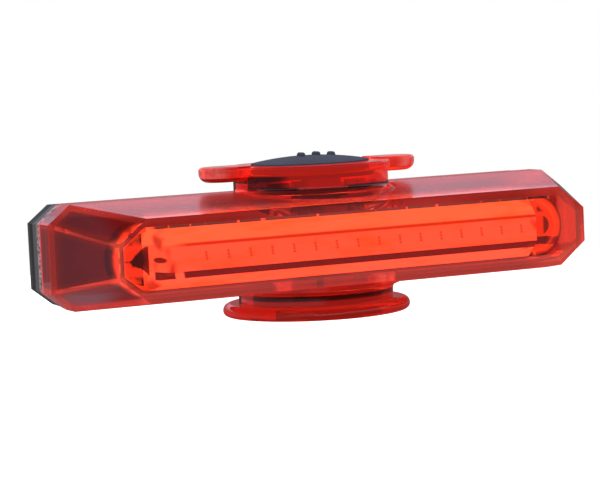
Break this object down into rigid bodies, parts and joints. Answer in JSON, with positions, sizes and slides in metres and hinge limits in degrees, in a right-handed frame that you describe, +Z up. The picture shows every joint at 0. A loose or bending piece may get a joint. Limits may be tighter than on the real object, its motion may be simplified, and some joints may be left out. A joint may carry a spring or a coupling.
{
  "type": "bike rear light",
  "caption": "Bar-shaped rechargeable bike rear light: red faceted lens, lit prism, round strap hub with a press button, grey rear tray and a rubber cradle for the seat post.",
  "frame": {"origin": "on the axis of the post that the cradle fits, at the middle of the light's length", "axes": "+X along the light and the post, +Y from the lens towards the post, +Z up through the button"},
  "size_m": [0.1, 0.0375, 0.0278],
  "materials": {
    "red_lens": "transparent red, polished",
    "cover_grey": "fine satin",
    "pad_rubber": "matte",
    "bead_pale": "satin, slightly uneven",
    "light_prism": "clear, glows when lit",
    "white_moulding": "satin",
    "white_board": "white solder mask",
    "led_coating": "soft gloss",
    "black_screw": "black oxide",
    "green_board": "green solder mask",
    "steel_screw": "zinc plated",
    "chip_black": "matte",
    "ferrite_grey": "matte",
    "ceramic_tan": "satin",
    "cell_foil": "foil, satin",
    "foam_grey": "open foam",
    "lead_red": "satin",
    "lead_black": "satin",
    "button_rubber": "slate grey, satin",
    "switch_red": "satin",
    "socket_steel": "nickel plated",
    "port_rubber": "matte"
  },
  "bodies": {
    "light_body": {"lens_housing": "red_lens", "rear_cover": "cover_grey", "rear_pad": "pad_rubber", "seam_bead": "bead_pale", "light_bar": "light_prism", "optic_frame": "white_moulding", "led_board": "white_board", "led_strip": "led_coating", "frame_screw_left": "black_screw", "frame_screw_right": "black_screw", "main_board": "green_board", "board_screw_left": "steel_screw", "board_screw_right": "steel_screw", "charge_ic": "chip_black", "driver_ic": "chip_black", "inductor": "ferrite_grey", "capacitor_left": "ceramic_tan", "capacitor_right": "ceramic_tan", "battery": "cell_foil", "battery_foam": "foam_grey", "battery_socket": "white_moulding", "battery_lead_red": "lead_red", "battery_lead_black": "lead_black", "led_lead_red": "lead_red", "led_lead_black": "lead_black", "switch_body": "switch_red", "switch_bracket": "chip_black", "bracket_peg": "white_moulding", "light_sensor": "chip_black", "charge_led": "white_moulding", "battery_led": "white_moulding", "usb_shell": "socket_steel", "usb_tongue": "chip_black", "port_anchor": "port_rubber"},
    "button": {"power_button": "button_rubber"},
    "plunger": {"switch_plunger": "chip_black"},
    "flap": {"port_cover": "port_rubber"}
  },
  "joints": [
    {"name": "button_press", "type": "slide", "parent": "light_body", "child": "button", "axis": [0, 0, -1], "range_m": [0, 0.0004], "stiffness_N_per_m": 5000, "springref_m": -0.0001},
    {"name": "plunger_press", "type": "slide", "parent": "light_body", "child": "plunger", "axis": [0, 0, -1], "range_m": [0, 0.0004]},
    {"name": "flap_swing", "type": "hinge", "parent": "light_body", "child": "flap", "pos_m": [-0.0069, -0.02705, -0.0132], "axis": [0, 1, 0], "range_deg": [0, 110], "stiffness_Nm_per_rad": 0.0002, "springref_deg": -11.46}
  ],
  "couplings": [
    {"joint": "plunger_press", "follows": "button_press", "ratio": 1}
  ]
}
